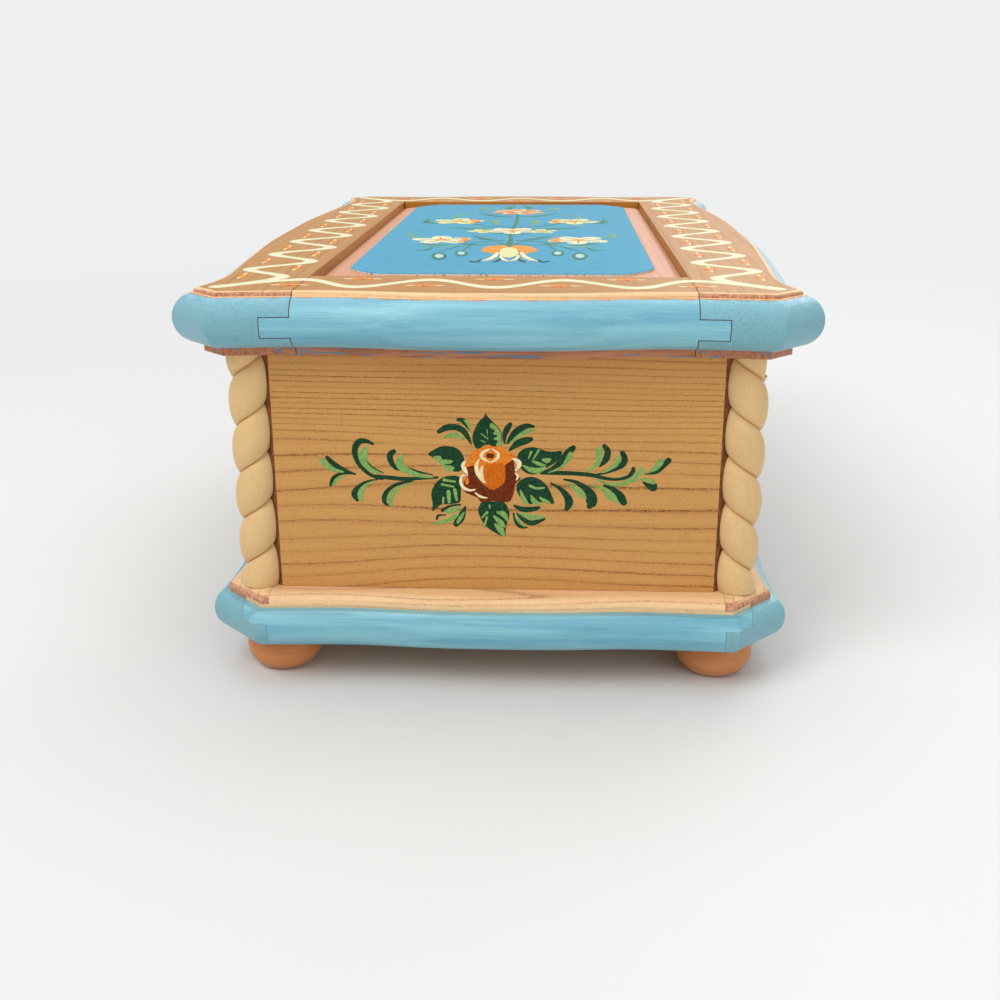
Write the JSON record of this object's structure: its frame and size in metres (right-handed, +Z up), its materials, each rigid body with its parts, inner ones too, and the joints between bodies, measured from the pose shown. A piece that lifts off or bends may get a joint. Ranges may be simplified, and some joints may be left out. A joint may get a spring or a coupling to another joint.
{
  "type": "music box",
  "caption": "Painted wooden music box: hinged moulded lid, twisted corner columns, bun feet, and a wound comb movement under glass beside a lined tray.",
  "frame": {"origin": "on the surface it stands on, under the middle of the chest", "axes": "+X along the chest towards its right end, -Y towards its front, +Z up"},
  "size_m": [0.3202, 0.1936, 0.1255],
  "materials": {
    "base_paint": "semi-gloss sky-blue paint with a clear wooden bead",
    "lid_paint": "semi-gloss sky-blue torus edge, lacquered tan wood on top",
    "field_paint": "satin sky-blue field on a lacquered wooden bevel",
    "honey_wood": "clear satin lacquer over straight grain",
    "pale_wood": "clear satin lacquer",
    "foot_wood": "clear satin lacquer",
    "plain_wood": "bare planed wood",
    "velvet": "short pile",
    "glass": "clear polished",
    "brass": "satin brass",
    "cast_plate": "matt gilt casting",
    "steel": "fine brushed"
  },
  "bodies": {
    "case": {"base_front_rail": "base_paint", "base_back_rail": "base_paint", "base_left_rail": "base_paint", "base_right_rail": "base_paint", "bottom_board": "plain_wood", "foot_front_left": "foot_wood", "foot_front_right": "foot_wood", "foot_back_left": "foot_wood", "foot_back_right": "foot_wood", "front_wall": "honey_wood", "back_wall": "honey_wood", "left_wall": "honey_wood", "right_wall": "honey_wood", "column_front_left": "pale_wood", "column_front_right": "pale_wood", "column_back_left": "pale_wood", "column_back_right": "pale_wood", "partition": "plain_wood", "floor_lining": "velvet", "front_lining": "velvet", "back_lining": "velvet", "partition_lining": "velvet", "right_lining": "velvet", "hinge_wall_leaf_left": "brass", "hinge_wall_leaf_right": "brass", "hinge_pin_left": "brass", "hinge_pin_right": "brass", "bedplate": "cast_plate", "comb_base": "cast_plate", "comb": "steel", "cylinder_bridge": "brass", "train_bridge": "brass", "train_cock": "brass", "barrel_bridge": "brass", "governor_block": "brass", "movement_glass": "glass", "glass_ledge_left": "plain_wood", "glass_ledge_right": "plain_wood", "rod_guide": "brass"},
    "lid": {"lid_front_rail": "lid_paint", "lid_back_rail": "lid_paint", "lid_left_rail": "lid_paint", "lid_right_rail": "lid_paint", "lid_panel": "field_paint", "hinge_lid_leaf_left": "brass", "hinge_lid_leaf_right": "brass"},
    "cylinder": {"pinned_cylinder": "brass", "cylinder_arbor": "steel", "cylinder_wheel": "brass"},
    "barrel": {"barrel_drum": "brass", "barrel_cover": "brass", "mainspring": "steel"},
    "winder": {"winding_arbor": "steel", "ratchet_wheel": "steel", "winding_key": "brass"},
    "click": {"click": "steel"},
    "second_arbor": {"second_arbor": "steel"},
    "fly": {"fly": "steel"},
    "stop_rod": {"stop_rod": "steel"}
  },
  "joints": [
    {"name": "lid_hinge", "type": "hinge", "parent": "case", "child": "lid", "pos_m": [0, 0.0818, 0.1063], "axis": [-1, 0, 0], "range_deg": [0, 105]},
    {"name": "cylinder_spin", "type": "hinge", "parent": "case", "child": "cylinder", "pos_m": [-0.079, 0, 0.04725], "axis": [1, 0, 0], "continuous": true},
    {"name": "barrel_spin", "type": "hinge", "parent": "case", "child": "barrel", "pos_m": [-0.1085, 0, 0.035], "axis": [0, 0, 1], "continuous": true},
    {"name": "second_spin", "type": "hinge", "parent": "case", "child": "second_arbor", "pos_m": [-0.079, 0.0135, 0.04725], "axis": [1, 0, 0], "continuous": true},
    {"name": "fly_spin", "type": "hinge", "parent": "case", "child": "fly", "pos_m": [-0.0399, 0.0213, 0.04725], "axis": [0, 0, 1], "continuous": true},
    {"name": "winding_turn", "type": "hinge", "parent": "case", "child": "winder", "pos_m": [-0.1085, 0, 0.03], "axis": [0, 0, 1], "range_deg": [0, 1440]},
    {"name": "click_lift", "type": "hinge", "parent": "case", "child": "click", "pos_m": [-0.1005, 0.006, 0.045], "axis": [0, 0, -1], "range_deg": [0, 8], "stiffness_Nm_per_rad": 0.00003, "springref_deg": -5.73},
    {"name": "stop_rod_rise", "type": "slide", "parent": "case", "child": "stop_rod", "axis": [0, 0, 1], "range_m": [0, 0.004]}
  ],
  "couplings": [
    {"joint": "barrel_spin", "follows": "cylinder_spin", "ratio": 0.25},
    {"joint": "second_spin", "follows": "cylinder_spin", "ratio": -4},
    {"joint": "fly_spin", "follows": "cylinder_spin", "ratio": 96},
    {"joint": "stop_rod_rise", "follows": "lid_hinge", "m_per_rad": 0.0021}
  ]
}
